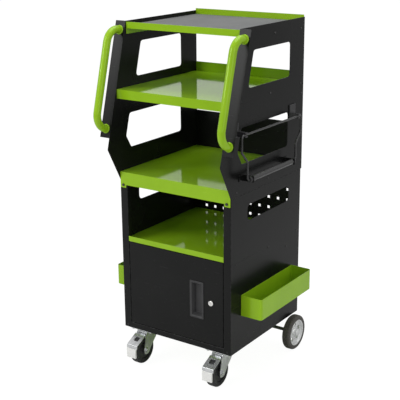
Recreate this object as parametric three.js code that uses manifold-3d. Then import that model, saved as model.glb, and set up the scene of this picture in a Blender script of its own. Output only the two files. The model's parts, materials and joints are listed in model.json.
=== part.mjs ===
// Mobile tool cart: a sheet-steel cabinet with a locking cupboard, an open hutch
// with three trays above it, two push handles, two side bins, a fold-down wire
// rack, two braked swivel casters at the front and two large wheels at the rear.
// Millimetres, +Z up, the front faces -Y, and X = 0 is the middle of the cart.
import * as THREE from 'three';
import { mergeVertices } from 'three/addons/utils/BufferGeometryUtils.js';
import Module from 'manifold-3d';

const wasm = await Module();
wasm.setup();

// ---------------------------------------------------------------- driving sizes

const sheet = 1.5; // steel sheet thickness
const gap = 0.3; // clearance between fitted pieces
const hemDepth = 12; // folded hems and small stiffening flanges

const cartWidth = 438; // across the side panels
const cabinetDepth = 444; // front face to rear face
const floorClearance = 126.5; // floor to the cabinet's underside
const cabinetHeight = 530.5; // underside to the seam under the hutch
const postWidth = 28; // front face of each folded corner post
const postReturn = 16; // depth of the post's inner return
const rearFlange = 20; // inward rear flange of the cabinet sides
const seamFlange = 22; // inward flanges that join cabinet and hutch
const railHeight = 20; // rail under the door
const cupboardHeight = 319.5; // underside to the cupboard's roof shelf
const sideWindow = { front: 97, rear: 363, drop: 41, height: 53, corner: 18 };

const hutchHeight = 518; // seam to the top edge of the hutch sides
const hutchOverhang = 6; // hutch sides behind the cabinet's rear face
const kneeReach = 61; // how far the sides lean out over the front
const kneeRise = 113; // seam to the knee
const topSetback = 50.5; // top front corner behind the cabinet face
const handleFlange = { width: 38, rise: 37 }; // outward flange, starting above the knee
const lowerWindow = {
  margin: 90, rise: 100, height: 116, chamfer: 41, chamferRun: 36, rearEdge: 102, corner: 13, blunt: 8,
};
const upperWindow = { margin: 97, rise: 333, height: 114, rearEdge: 95, corner: 13 };

const lowerTray = { rise: 28, lip: 44, tabWidth: 22, tabDrop: 9.5 };
const middleTray = { rise: 304, lip: 30, upstand: 33, front: -6 };
const topTray = { drop: 16, lipUp: 13, lipDown: 8, upstand: 23, front: 52 };
const trayFlange = 26; // side flanges that screw to the hutch sides
const matThickness = 3;
const backPanelHeight = 160; // hutch back panel above the seam

const roofLip = 18; // raised front lip of the cupboard's roof shelf
const pegPitch = 38.1;
const pegHole = 9.5;
const pegRows = 4;
const pegColumns = 10;
const pegFirstRow = 15; // first row above the roof shelf

const doorGap = 2.5;
const doorThickness = 18;
const hingeInset = 4.5; // hinge axis in from the door's corner
const hingePinRadius = 2.5;
const hingePinReach = 12;
const handleCup = { width: 54, height: 129, depth: 15, flange: 2, border: 5, taper: 9, fromRight: 101.5 };
const lock = { fromRight: 45, bezelRadius: 9.5, barrelRadius: 8, plugRadius: 5.5, bezel: 6 };
const lockCam = { length: 56, width: 14, thickness: 2.5, stand: 2.4 };

const handleTube = { radius: 12.5, wall: 1.6, standOff: 53, bend: 48, footInset: 30, footRise: 31 };

const bin = { length: 332, depth: 78, height: 71, front: 60, fromBottom: 121.5, corner: 10 };

const rack = {
  standOff: 32, wire: 3.5, centre: 195, topHalf: 185, bottomHalf: 151, height: 147,
  barRise: 57, barRadius: 9, barHalf: 128, jogLow: 58, jogHigh: 94, bend: 11, pinLength: 40,
};
const rackEar = { thickness: 2.5, height: 20, foot: 20 };
const rackClip = { base: 38, below: 11, above: 34, width: 12, jaw: 4, reach: 5, fromBend: 3 };

const casterPlace = { x: 157, y: 47 }; // swivel axes
const caster = {
  wheelRadius: 50, wheelWidth: 30, tyre: 12, trail: 35, plateX: 95, plateY: 85, plate: 4,
  armInner: 18.4, arm: 2.8, axle: 5, swivelGap: 8, kingpin: 6, crown: 3,
};
const fork = {
  rear: 27, front: 34, web: 14, narrow: 12, foot: 15, waist: 28, boss: 27, nut: 4, race: 26,
};
const pedal = {
  width: 44, neck: 35, shoulder: 9, thickness: 2, tube: 3.4, pin: 2.2, link: 12,
  tip: 0.68, skirt: 12, windowStart: 21, windowEnd: 40, windowHalf: 10,
};
const toeGuard = { width: 37, thickness: 6.5, clearance: 5, foot: 11 };

const rearWheel = { radius: 62.5, width: 29, rim: 47, x: 230, y: 399.5, axle: 6, hub: 15, spokes: 5 };
const axleBracket = { x: 95, width: 50, thickness: 3 };

// ---------------------------------------------------------------- derived places

const half = cartWidth / 2;
const inner = half - sheet - gap; // inside faces of fitted trays and panels
const cabinetBottom = floorClearance;
const seam = cabinetBottom + cabinetHeight;
const roofTop = cabinetBottom + cupboardHeight;
const roofUnder = roofTop - sheet;
const openingHalf = half - postWidth - gap; // fitted between the corner posts
const hutchRear = cabinetDepth + hutchOverhang;
const hutchBottom = seam + gap;
const knee = { y: -kneeReach, z: seam + kneeRise };
const hutchTop = { y: topSetback, z: seam + hutchHeight };
const lean = Math.atan2(hutchTop.y - knee.y, hutchTop.z - knee.z);
const leanTo = (z) => knee.y + (z - knee.z) * Math.tan(lean);
const backFace = cabinetDepth - 2 * sheet - gap; // front face of the cabinet back

// ---------------------------------------------------------------- materials

function finish(color, roughness, metalness) {
  return new THREE.MeshStandardMaterial({ color, roughness, metalness });
}
const greenPaint = finish(0x7db51c, 0.35, 0);
const blackPaint = finish(0x1c1e1d, 0.45, 0);
const greyMat = finish(0x6f7172, 0.9, 0);
const blackPlastic = finish(0x1a1a1c, 0.5, 0);
const blackRubber = finish(0x161616, 0.8, 0);
const whitePlastic = finish(0xf0f0ee, 0.4, 0);
const zinc = finish(0xb9bcbe, 0.3, 1);
const nickel = finish(0xd8d8d6, 0.18, 1);
const blackSteel = finish(0x222224, 0.4, 0.6);
const tyreRubber = finish(0x3c3b38, 0.85, 0);
const silverPlastic = finish(0xa9abac, 0.4, 0.4);

// ---------------------------------------------------------------- solid helpers

/** Solid of a closed geometry, on a 0.001 mm grid so that faces meant to be flush are. */
function toSolid(geometry) {
  const bare = geometry.clone();
  bare.deleteAttribute('normal');
  bare.deleteAttribute('uv');
  const values = bare.attributes.position.array;
  for (let i = 0; i < values.length; i++) values[i] = Math.round(values[i] * 1000) / 1000;
  const merged = mergeVertices(bare, 1e-4);
  return new wasm.Manifold(new wasm.Mesh({
    numProp: 3,
    vertProperties: new Float32Array(merged.attributes.position.array),
    triVerts: new Uint32Array(merged.index.array),
  }));
}

function toGeometry(solid) {
  const data = solid.getMesh();
  const geometry = new THREE.BufferGeometry();
  geometry.setAttribute('position', new THREE.BufferAttribute(data.vertProperties, 3));
  geometry.setIndex(new THREE.BufferAttribute(data.triVerts, 1));
  geometry.computeVertexNormals();
  return geometry;
}

/** The same solid on the other side of the cart's middle plane. */
function mirrored(solid) {
  const geometry = toGeometry(solid);
  geometry.scale(-1, 1, 1);
  const index = geometry.index.array;
  for (let i = 0; i < index.length; i += 3) [index[i], index[i + 1]] = [index[i + 1], index[i]];
  return toSolid(geometry);
}

// Joining or cutting at flush faces can leave slivers, which are collapsed.
const sliver = 0.01;
const join = (...solids) => solids.reduce((whole, next) => whole.add(next)).simplify(sliver);
const cut = (solid, ...tools) => (
  tools.reduce((whole, tool) => whole.subtract(tool), solid).simplify(sliver)
);

/** Box between two x, two y and two z values, given in either order. */
function block([xa, xb], [ya, yb], [za, zb]) {
  const geometry = new THREE.BoxGeometry(Math.abs(xb - xa), Math.abs(yb - ya), Math.abs(zb - za));
  geometry.translate((xa + xb) / 2, (ya + yb) / 2, (za + zb) / 2);
  return toSolid(geometry);
}

const turns = {
  x: new THREE.Matrix4().makeRotationZ(-Math.PI / 2),
  y: new THREE.Matrix4(),
  z: new THREE.Matrix4().makeRotationX(Math.PI / 2),
};

/** Cylinder or cone along an axis, from `from` to `to` on it, about the point `centre`. */
function rod(axis, [from, to], centre, radius, sides = 24, endRadius = radius) {
  const geometry = new THREE.CylinderGeometry(endRadius, radius, Math.abs(to - from), sides);
  geometry.applyMatrix4(turns[axis]);
  const middle = (from + to) / 2;
  const place = { x: [middle, ...centre], y: [centre[0], middle, centre[1]], z: [...centre, middle] };
  geometry.translate(...place[axis]);
  return toSolid(geometry);
}

/** Shape through the points, each corner rounded to its own radius. */
function roundedShape(points, radii) {
  const shape = new THREE.Shape();
  const corners = points.map(([u, v]) => new THREE.Vector2(u, v));
  corners.forEach((corner, i) => {
    const before = corners.at(i - 1);
    const after = corners[(i + 1) % corners.length];
    const radius = Array.isArray(radii) ? radii[i] : radii;
    const back = before.clone().sub(corner);
    const on = after.clone().sub(corner);
    const reach = radius / Math.tan(back.angleTo(on) / 2);
    const start = corner.clone().add(back.setLength(reach));
    const end = corner.clone().add(on.setLength(reach));
    if (i === 0) shape.moveTo(start.x, start.y);
    else shape.lineTo(start.x, start.y);
    if (radius > 0) shape.quadraticCurveTo(corner.x, corner.y, end.x, end.y);
  });
  shape.closePath();
  return shape;
}

function extrude(shape, length, basis, offset, segments = 5) {
  const geometry = new THREE.ExtrudeGeometry(shape, {
    depth: length, bevelEnabled: false, curveSegments: segments,
  });
  geometry.applyMatrix4(basis);
  geometry.translate(offset.x, offset.y, offset.z);
  return toSolid(geometry);
}

const axisX = new THREE.Vector3(1, 0, 0);
const axisY = new THREE.Vector3(0, 1, 0);
const axisZ = new THREE.Vector3(0, 0, 1);
const acrossX = new THREE.Matrix4().makeBasis(axisY, axisZ, axisX);
const acrossY = new THREE.Matrix4().makeBasis(axisX, axisZ, axisY.clone().negate());
const acrossZ = new THREE.Matrix4();

/** Plate whose outline lies in Y-Z, between two x values. */
function plateYZ(shape, [xa, xb], segments) {
  return extrude(shape, Math.abs(xb - xa), acrossX, { x: Math.min(xa, xb), y: 0, z: 0 }, segments);
}

/** Plate whose outline lies in X-Z, between two y values. */
function plateXZ(shape, [ya, yb], segments) {
  return extrude(shape, Math.abs(yb - ya), acrossY, { x: 0, y: Math.max(ya, yb), z: 0 }, segments);
}

/** Plate whose outline lies in X-Y, between two z values. */
function plateXY(shape, [za, zb], segments) {
  return extrude(shape, Math.abs(zb - za), acrossZ, { x: 0, y: 0, z: Math.min(za, zb) }, segments);
}

function rectangle([ua, ub], [va, vb], radius = 0) {
  return roundedShape([[ua, va], [ub, va], [ub, vb], [ua, vb]], radius);
}

/** Path in the Y-Z plane through the points, with the inner corners rounded. */
function bentPath(points, radius) {
  const path = new THREE.CurvePath();
  const stops = points.map(([y, z]) => new THREE.Vector3(0, y, z));
  let start = stops[0];
  for (let i = 1; i < stops.length - 1; i++) {
    const corner = stops[i];
    const back = stops[i - 1].clone().sub(corner);
    const on = stops[i + 1].clone().sub(corner);
    const reach = radius / Math.tan(back.angleTo(on) / 2);
    const into = corner.clone().add(back.setLength(reach));
    const out = corner.clone().add(on.setLength(reach));
    path.add(new THREE.LineCurve3(start, into));
    path.add(new THREE.QuadraticBezierCurve3(into, corner, out));
    start = out;
  }
  path.add(new THREE.LineCurve3(start, stops.at(-1)));
  return path;
}

/** Round bar, or tube where a wall is given, along a path. */
function tube(path, radius, { sides, steps, wall = 0 }) {
  const ring = (r) => Array.from({ length: sides }, (_, i) => {
    const angle = (2 * Math.PI * (i + 0.5)) / sides;
    return new THREE.Vector2(r * Math.cos(angle), r * Math.sin(angle));
  });
  const shape = new THREE.Shape(ring(radius));
  if (wall > 0) shape.holes.push(new THREE.Path(ring(radius - wall)));
  const geometry = new THREE.ExtrudeGeometry(shape, { steps, extrudePath: path, curveSegments: 1 });
  return toSolid(geometry);
}

/** Turned solid about the X axis, from [x, radius] pairs that close on themselves. */
function turned(profile, sides) {
  const points = profile.map(([x, radius]) => new THREE.Vector2(radius, x));
  const geometry = new THREE.LatheGeometry([...points, points[0]], sides);
  geometry.applyMatrix4(new THREE.Matrix4().makeRotationZ(-Math.PI / 2));
  return toSolid(geometry);
}

function part(name, solid, material, parent) {
  const mesh = new THREE.Mesh(toGeometry(solid), material);
  mesh.name = name;
  parent.add(mesh);
  return mesh;
}

/** Left and right copies of one right-hand solid, mirrored about X = 0 of their parents. */
function pair(name, solid, material, parents) {
  part(`${name}_left`, mirrored(solid), material, parents.left ?? parents);
  part(`${name}_right`, solid, material, parents.right ?? parents);
}

const cart = new THREE.Group();
const sides = [['left', -1], ['right', 1]];

// ---------------------------------------------------------------- cabinet

const boltHole = 3.3;
const shelfBolt = { x: half - 14.5, z: seam - 16 };

function cabinetSide() {
  const height = [cabinetBottom, seam];
  const window = rectangle(
    [sideWindow.front, sideWindow.rear],
    [seam - sideWindow.drop - sideWindow.height, seam - sideWindow.drop],
    sideWindow.corner,
  );
  const inside = half - postWidth;
  const body = join(
    block([half - sheet, half], [0, cabinetDepth], height),
    block([inside, half], [0, sheet], height),
    block([inside, inside + sheet], [0, postReturn], [cabinetBottom + sheet + gap, seam]),
    block([half - rearFlange, half], [cabinetDepth - sheet, cabinetDepth], height),
    block([half - seamFlange, half], [0, cabinetDepth], [seam - sheet, seam]),
  );
  return cut(
    body,
    plateYZ(window, [half - 2 * sheet, half + sheet]),
    rod('y', [-sheet, 3 * sheet], [shelfBolt.x, shelfBolt.z], boltHole, 12),
  );
}

function cabinetBack() {
  const bottom = cabinetBottom + rearFlange + gap;
  const top = seam - sheet - gap;
  const face = [backFace, backFace + sheet];
  const panel = block([-inner, inner], face, [bottom, top]);
  const holes = [];
  const firstColumn = -((pegColumns - 1) / 2) * pegPitch;
  for (let row = 0; row < pegRows; row++) {
    for (let column = 0; column < pegColumns; column++) {
      const x = firstColumn + column * pegPitch;
      const z = roofTop + pegFirstRow + row * pegPitch;
      holes.push(block(
        [x - pegHole / 2, x + pegHole / 2],
        [backFace - sheet, backFace + 2 * sheet],
        [z - pegHole / 2, z + pegHole / 2],
      ));
    }
  }
  return cut(panel, ...holes);
}

function cabinetBase() {
  const rear = cabinetDepth - sheet - gap;
  const front = sheet + gap;
  const wall = [cabinetBottom, cabinetBottom + rearFlange];
  const lowWall = [cabinetBottom, cabinetBottom + hemDepth];
  return join(
    block([-inner, inner], [front, rear], [cabinetBottom, cabinetBottom + sheet]),
    block([-inner, inner], [rear - sheet, rear], wall),
    block([-openingHalf, openingHalf], [front, front + sheet], lowWall),
    block([-inner, -inner + sheet], [postReturn + gap, rear], wall),
    block([inner - sheet, inner], [postReturn + gap, rear], wall),
  );
}

function bottomRail() {
  const top = cabinetBottom + railHeight;
  return join(
    block([-openingHalf, openingHalf], [0, sheet], [cabinetBottom, top]),
    block([-openingHalf, openingHalf], [0, hemDepth], [top - sheet, top]),
  );
}

function roofShelf() {
  const behindPosts = postReturn + gap;
  const rear = backFace - gap;
  const skirt = [roofTop - trayFlange, roofTop];
  return join(
    block([-openingHalf, openingHalf], [0, rear], [roofUnder, roofTop]),
    block([-openingHalf, openingHalf], [0, sheet], [roofUnder, roofUnder + roofLip]),
    block([-inner, inner], [behindPosts, rear], [roofUnder, roofTop]),
    block([-inner, -inner + sheet], [behindPosts, rear], skirt),
    block([inner - sheet, inner], [behindPosts, rear], skirt),
    block([-inner, inner], [rear - sheet, rear], skirt),
  );
}

pair('cabinet_side', cabinetSide(), blackPaint, cart);
part('cabinet_back', cabinetBack(), blackPaint, cart);
part('cabinet_base', cabinetBase(), greenPaint, cart);
part('bottom_rail', bottomRail(), blackPaint, cart);
part('cupboard_roof', roofShelf(), greenPaint, cart);

// ---------------------------------------------------------------- door and lock

const doorHalf = half - postWidth - doorGap;
const doorBottom = cabinetBottom + railHeight + doorGap;
const doorTop = roofUnder - doorGap;
const doorMiddle = (doorBottom + doorTop) / 2;
const hinge = { x: -doorHalf + hingeInset, y: hingeInset };
const cupCentre = doorHalf - handleCup.fromRight;
const lockCentre = doorHalf - lock.fromRight;
const pinHole = hingePinRadius + gap;
const cupWall = 1.5;

/** Tapered block from an outline at the front to a smaller one at the rear, along Y. */
function taperedPocket(width, height, taper, [ya, yb]) {
  const geometry = new THREE.BoxGeometry(1, 1, 1);
  const position = geometry.attributes.position;
  for (let i = 0; i < position.count; i++) {
    const deep = position.getY(i) > 0;
    const inset = deep ? 2 * taper : 0;
    position.setXYZ(
      i, position.getX(i) * (width - inset), deep ? yb : ya, position.getZ(i) * (height - inset),
    );
  }
  geometry.translate(cupCentre, 0, doorMiddle);
  return toSolid(geometry);
}

function doorPanel() {
  const outer = block([-doorHalf, doorHalf], [0, doorThickness], [doorBottom, doorTop]);
  const hollow = block(
    [-doorHalf + sheet, doorHalf - sheet],
    [sheet, doorThickness + sheet],
    [doorBottom + sheet, doorTop - sheet],
  );
  const cupOpening = handleCup.width - 2 * handleCup.border + 2 * gap;
  const cupHeight = handleCup.height - 2 * handleCup.border + 2 * gap;
  return cut(
    outer,
    hollow,
    rod('z', [doorBottom - 1, doorTop + 1], [hinge.x, hinge.y], pinHole, 16),
    block(
      [cupCentre - cupOpening / 2, cupCentre + cupOpening / 2],
      [-sheet, 2 * sheet],
      [doorMiddle - cupHeight / 2, doorMiddle + cupHeight / 2],
    ),
    rod('y', [-sheet, 2 * sheet], [lockCentre, doorMiddle], lock.barrelRadius + gap, 32),
  );
}

function handleCupSolid() {
  const width = handleCup.width - 2 * handleCup.border;
  const height = handleCup.height - 2 * handleCup.border;
  const flange = rectangle(
    [cupCentre - handleCup.width / 2, cupCentre + handleCup.width / 2],
    [doorMiddle - handleCup.height / 2, doorMiddle + handleCup.height / 2],
    4,
  );
  const face = -gap - handleCup.flange;
  return cut(
    join(
      plateXZ(flange, [face, -gap]),
      taperedPocket(width, height, handleCup.taper, [face, handleCup.depth]),
    ),
    taperedPocket(
      width - 2 * cupWall, height - 2 * cupWall, handleCup.taper,
      [face - 0.01, handleCup.depth - cupWall],
    ),
  );
}

const camFace = doorThickness + lockCam.stand;
const lockBore = lock.plugRadius + gap;
const keeperLip = 14;

function lockBody() {
  const centre = [lockCentre, doorMiddle];
  return cut(
    join(
      rod('y', [-gap - lock.bezel, -gap], centre, lock.bezelRadius, 32),
      rod('y', [-gap - 0.01, doorThickness], centre, lock.barrelRadius, 32),
    ),
    rod('y', [-lock.bezel - 1, doorThickness + 1], centre, lockBore, 24),
  );
}

function lockPlug() {
  const centre = [lockCentre, doorMiddle];
  const front = -gap - lock.bezel - 0.5;
  const keySlot = block(
    [lockCentre - 0.8, lockCentre + 0.8], [front - 1, front + 8], [doorMiddle - 3.6, doorMiddle + 3.6],
  );
  return cut(
    join(
      rod('y', [front, doorThickness + lockCam.stand - gap], centre, lock.plugRadius, 24),
      rod('y', [camFace - gap - 0.01, camFace + lockCam.thickness + 2], centre, 3, 16),
    ),
    keySlot,
  );
}

function lockCamSolid() {
  const outline = rectangle(
    [lockCentre - lockCam.width / 2, lockCentre + lockCam.width / 2],
    [doorMiddle - lockCam.length, doorMiddle + lockCam.width / 2],
    3,
  );
  return cut(
    plateXZ(outline, [camFace, camFace + lockCam.thickness]),
    rod('y', [camFace - 1, camFace + lockCam.thickness + 1], [lockCentre, doorMiddle], 3 + gap, 16),
  );
}

function lockKeeper() {
  const inside = half - postWidth + sheet + gap;
  const height = [doorMiddle - 24, doorMiddle + 24];
  const rear = camFace - 2 * gap;
  return join(
    block([inside, inside + sheet], [sheet + gap, rear], height),
    block([inside, inside + keeperLip], [rear - sheet, rear], height),
  );
}

function hingePin(seat, direction) {
  const collar = [seat + direction * gap, seat + direction * (doorGap - gap)];
  const tip = seat + direction * (doorGap + hingePinReach);
  return join(
    rod('z', collar, [hinge.x, hinge.y], hingePinRadius + 1.5, 16),
    rod('z', [collar[0], tip], [hinge.x, hinge.y], hingePinRadius, 16),
  );
}

part('door', doorPanel(), blackPaint, cart);
part('door_handle_cup', handleCupSolid(), blackPlastic, cart);
part('lock_body', lockBody(), nickel, cart);
part('lock_plug', lockPlug(), nickel, cart);
part('lock_cam', lockCamSolid(), zinc, cart);
part('lock_keeper', lockKeeper(), zinc, cart);
part('hinge_pin_lower', hingePin(cabinetBottom + railHeight, 1), blackSteel, cart);
part('hinge_pin_upper', hingePin(roofUnder, -1), blackSteel, cart);

// ---------------------------------------------------------------- hutch

const lowerWindowBottom = seam + lowerWindow.rise;
const lowerWindowTop = lowerWindowBottom + lowerWindow.height;
const upperWindowBottom = seam + upperWindow.rise;
const upperWindowTop = upperWindowBottom + upperWindow.height;

function hutchSide() {
  const outline = roundedShape([
    [hutchRear, hutchBottom], [hutchRear, hutchTop.z], [hutchTop.y, hutchTop.z],
    [knee.y, knee.z], [0, hutchBottom],
  ], 0);
  const chamferTop = lowerWindowBottom + lowerWindow.chamfer;
  const lowerOpening = roundedShape([
    [leanTo(chamferTop) + lowerWindow.margin, chamferTop],
    [leanTo(lowerWindowBottom) + lowerWindow.margin + lowerWindow.chamferRun, lowerWindowBottom],
    [hutchRear - lowerWindow.rearEdge, lowerWindowBottom],
    [hutchRear - lowerWindow.rearEdge, lowerWindowTop],
    [leanTo(lowerWindowTop) + lowerWindow.margin, lowerWindowTop],
  ], [lowerWindow.blunt, lowerWindow.blunt, lowerWindow.corner, lowerWindow.corner, lowerWindow.corner]);
  const upperOpening = roundedShape([
    [leanTo(upperWindowBottom) + upperWindow.margin, upperWindowBottom],
    [hutchRear - upperWindow.rearEdge, upperWindowBottom],
    [hutchRear - upperWindow.rearEdge, upperWindowTop],
    [leanTo(upperWindowTop) + upperWindow.margin, upperWindowTop],
  ], upperWindow.corner);
  const flangeFoot = knee.z + handleFlange.rise;
  const flangeDepth = sheet / Math.cos(lean);
  const flange = roundedShape([
    [leanTo(flangeFoot), flangeFoot],
    [leanTo(flangeFoot) + flangeDepth, flangeFoot],
    [hutchTop.y + flangeDepth, hutchTop.z],
    [hutchTop.y, hutchTop.z],
  ], 0);
  const through = [half - 2 * sheet, half + sheet];
  return join(
    cut(
      plateYZ(outline, [half - sheet, half]),
      plateYZ(lowerOpening, through),
      plateYZ(upperOpening, through),
    ),
    plateYZ(flange, [half - sheet, half + handleFlange.width]),
    block(
      [half - seamFlange, half],
      [sheet, cabinetDepth - sheet],
      [hutchBottom, hutchBottom + sheet],
    ),
  );
}

/** Tray deck with side and rear skirts folded down, deck top at `top`. */
function trayDeck(top, [front, rear], skirt = trayFlange) {
  const wall = [top - skirt, top];
  return join(
    block([-inner, inner], [front, rear], [top - sheet, top]),
    block([-inner, -inner + sheet], [front, rear], wall),
    block([inner - sheet, inner], [front, rear], wall),
    block([-inner, inner], [rear - sheet, rear], wall),
  );
}

const hutchBackFace = hutchRear - 4 * sheet;
const lowerTop = seam + lowerTray.rise;
const middleTop = seam + middleTray.rise;
const topDeck = hutchTop.z - topTray.drop;
const trayRear = hutchRear - sheet;

function lowerTraySolid() {
  const rear = hutchBackFace - gap;
  const front = [-gap - sheet, -gap];
  const skirt = lowerTray.rise - 2 * sheet - 2 * gap;
  const tabs = sides.map(([, s]) => block(
    [s * (inner - gap - lowerTray.tabWidth), s * (inner - gap)],
    front,
    [lowerTop - lowerTray.lip - lowerTray.tabDrop, lowerTop],
  ));
  return cut(
    join(
      trayDeck(lowerTop, [sheet, rear], skirt),
      block([-inner + gap, inner - gap], [front[0], 2 * sheet], [lowerTop - sheet, lowerTop]),
      block([-inner + gap, inner - gap], front, [lowerTop - lowerTray.lip, lowerTop]),
      ...tabs,
    ),
    ...sides.map(([, s]) => rod('y', [-10, -0.01], [s * shelfBolt.x, shelfBolt.z], boltHole, 12)),
  );
}

function middleTraySolid() {
  const front = middleTray.front;
  return join(
    trayDeck(middleTop, [front, trayRear]),
    block([-inner, inner], [front, front + sheet], [middleTop - middleTray.lip, middleTop]),
    block(
      [-inner, inner],
      [trayRear - sheet, trayRear],
      [middleTop - sheet, middleTop + middleTray.upstand],
    ),
  );
}

function topTraySolid() {
  const front = topTray.front;
  const lip = [topDeck - topTray.lipDown, topDeck + topTray.lipUp];
  return join(
    trayDeck(topDeck, [front, trayRear]),
    block([-inner, inner], [front, front + sheet], lip),
    block(
      [-inner, inner],
      [trayRear - sheet, trayRear],
      [topDeck - sheet, topDeck + topTray.upstand],
    ),
  );
}

function topMat() {
  const edge = 2;
  const outline = rectangle(
    [-inner + edge, inner - edge], [topTray.front + sheet + edge, trayRear - sheet - edge], 6,
  );
  return plateXY(outline, [topDeck + gap, topDeck + gap + matThickness]);
}

function hutchBack() {
  const top = seam + backPanelHeight;
  const bottom = hutchBottom + sheet + gap;
  const face = [hutchBackFace, hutchBackFace + sheet];
  return join(
    block([-inner, inner], face, [bottom, top]),
    block([-inner, -inner + sheet], [hutchBackFace, hutchRear - sheet], [bottom, top]),
    block([inner - sheet, inner], [hutchBackFace, hutchRear - sheet], [bottom, top]),
    block([-inner, inner], [hutchBackFace, hutchRear - sheet], [top - sheet, top]),
  );
}

function shelfBoltSolid() {
  const face = -gap - sheet - gap;
  const centre = [shelfBolt.x, shelfBolt.z];
  return join(
    rod('y', [face - 3, face], centre, 5, 6),
    rod('y', [face - 0.01, 4 * sheet], centre, boltHole - gap, 12),
  );
}

pair('hutch_side', hutchSide(), blackPaint, cart);
part('hutch_back', hutchBack(), blackPaint, cart);
part('lower_tray', lowerTraySolid(), greenPaint, cart);
part('middle_tray', middleTraySolid(), greenPaint, cart);
part('top_tray', topTraySolid(), greenPaint, cart);
part('top_mat', topMat(), greyMat, cart);
pair('tray_bolt', shelfBoltSolid(), blackSteel, cart);

// ---------------------------------------------------------------- push handles

/** Handle in the frame of its leaning flange: local Z runs up it, local -Y stands off it. */
function handle() {
  const { radius, wall, standOff, bend, footInset, footRise } = handleTube;
  const flangeLength = (hutchTop.z - knee.z) / Math.cos(lean);
  const low = footRise + handleFlange.rise;
  const high = flangeLength - footInset;
  const path = bentPath([[-gap, low], [-standOff, low], [-standOff, high], [-gap, high]], bend);
  return tube(path, radius, { sides: 10, steps: 28, wall });
}

for (const [side, s] of sides) {
  const mount = new THREE.Group();
  mount.position.set(s * (half + handleFlange.width / 2), knee.y, knee.z);
  mount.rotation.x = -lean;
  part(`handle_${side}`, handle(), greenPaint, mount);
  cart.add(mount);
}

// ---------------------------------------------------------------- side bins

function sideBin() {
  const radius = bin.corner;
  const box = (inset) => roundedShape([
    [gap + inset, bin.front + inset],
    [bin.depth - inset, bin.front + inset],
    [bin.depth - inset, bin.front + bin.length - inset],
    [gap + inset, bin.front + bin.length - inset],
  ], [1, radius - inset, radius - inset, 1].map((r) => Math.max(r, 0.5)));
  const bottom = cabinetBottom + bin.fromBottom;
  return cut(
    plateXY(box(0), [bottom, bottom + bin.height], 6),
    plateXY(box(sheet), [bottom + sheet, bottom + bin.height + 1], 6),
  );
}

const binMounts = {};
for (const [side, s] of sides) {
  binMounts[side] = new THREE.Group();
  binMounts[side].position.x = s * half;
  cart.add(binMounts[side]);
}
pair('side_bin', sideBin(), greenPaint, binMounts);

// ---------------------------------------------------------------- fold-down wire rack

// Local frame: origin on the pivot bar's axis at the rack's middle, X away from the side.
const rackMount = new THREE.Group();
rackMount.position.set(half + rack.standOff, rack.centre, seam + rack.barRise);

function rackWire() {
  const lower = rack.bottomHalf;
  const upper = rack.topHalf;
  const pinEnd = lower - rack.pinLength;
  const path = bentPath([
    [-pinEnd, 0], [-lower, 0], [-lower, rack.jogLow], [-upper, rack.jogHigh], [-upper, rack.height],
    [upper, rack.height], [upper, rack.jogHigh], [lower, rack.jogLow], [lower, 0], [pinEnd, 0],
  ], rack.bend);
  return tube(path, rack.wire, { sides: 6, steps: 110 });
}

function rackBar() {
  return cut(
    rod('y', [-rack.barHalf, rack.barHalf], [0, 0], rack.barRadius, 20),
    rod('y', [-rack.barHalf - 1, rack.barHalf + 1], [0, 0], rack.wire + 2 * gap, 12),
  );
}

function rackBracket(s) {
  const near = rack.barHalf + gap;
  const far = near + rackEar.thickness;
  const panel = -rack.standOff + gap;
  const tip = rack.barRadius + 2;
  const ear = rectangle([panel, tip], [-rackEar.height / 2, rackEar.height / 2], 0);
  return cut(
    join(
      plateXZ(ear, [s * near, s * far]),
      block([panel, panel + rackEar.thickness], [s * near, s * (far + rackEar.foot)],
        [-rackEar.height / 2, rackEar.height / 2]),
    ),
    rod('y', [s * (near - 1), s * (far + 1)], [0, 0], rack.wire + gap, 12),
  );
}

function rackCollar(s) {
  const near = rack.barHalf + 2 * gap + rackEar.thickness;
  const far = rack.bottomHalf - rack.bend - gap;
  return cut(
    rod('y', [s * near, s * far], [0, 0], rack.barRadius, 20),
    rod('y', [s * (near - 1), s * (far + 1)], [0, 0], rack.wire + gap, 12),
  );
}

/** Spring clip at one end of the top rod: a base on the side panel and a pair of jaws. */
function rackClipSolid(s) {
  const { base, below, above, width, jaw, reach, fromBend } = rackClip;
  const panel = -rack.standOff + gap;
  const rodGap = rack.wire + 2 * gap;
  const low = rack.height - rodGap - jaw;
  const high = rack.height + rodGap + jaw;
  const end = rack.topHalf - rack.bend - fromBend;
  const along = [s * (end - width), s * end];
  const plate = [s * (end - width), s * (end - width + base)];
  return join(
    block([panel, panel + jaw], plate, [rack.height - below, rack.height + above]),
    block([panel, -rodGap], along, [low, high]),
    block([-rodGap - 1, reach], along, [rack.height + rodGap, high]),
    block([-rodGap - 1, reach], along, [low, rack.height - rodGap]),
  );
}

part('rack_wire', rackWire(), blackSteel, rackMount);
part('rack_bar', rackBar(), blackSteel, rackMount);
for (const [end, s] of [['front', -1], ['rear', 1]]) {
  part(`rack_bracket_${end}`, rackBracket(s), blackPaint, rackMount);
  part(`rack_collar_${end}`, rackCollar(s), blackPlastic, rackMount);
  part(`rack_clip_${end}`, rackClipSolid(s), blackPlastic, rackMount);
}
cart.add(rackMount);

// ---------------------------------------------------------------- front casters

// Local frame of a caster: origin on the floor under its swivel axis, wheel towards -Y.
const wheelY = -caster.trail;
const wheelZ = caster.wheelRadius;
const plateTop = floorClearance - gap;
const plateUnder = plateTop - caster.plate;
const crownTop = plateUnder - caster.swivelGap;
const crownUnder = crownTop - caster.crown;
const armOuter = caster.armInner + caster.arm;
const pedalPivot = { y: wheelY + 3, z: crownUnder - 4 };
// Foot of the pedal's tread, seen from the pivot: just ahead of the tyre, above its middle.
const pedalTip = new THREE.Vector2(
  wheelY - caster.wheelRadius - toeGuard.clearance - pedalPivot.y,
  wheelZ + pedal.tip * caster.wheelRadius - pedalPivot.z,
);

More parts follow.
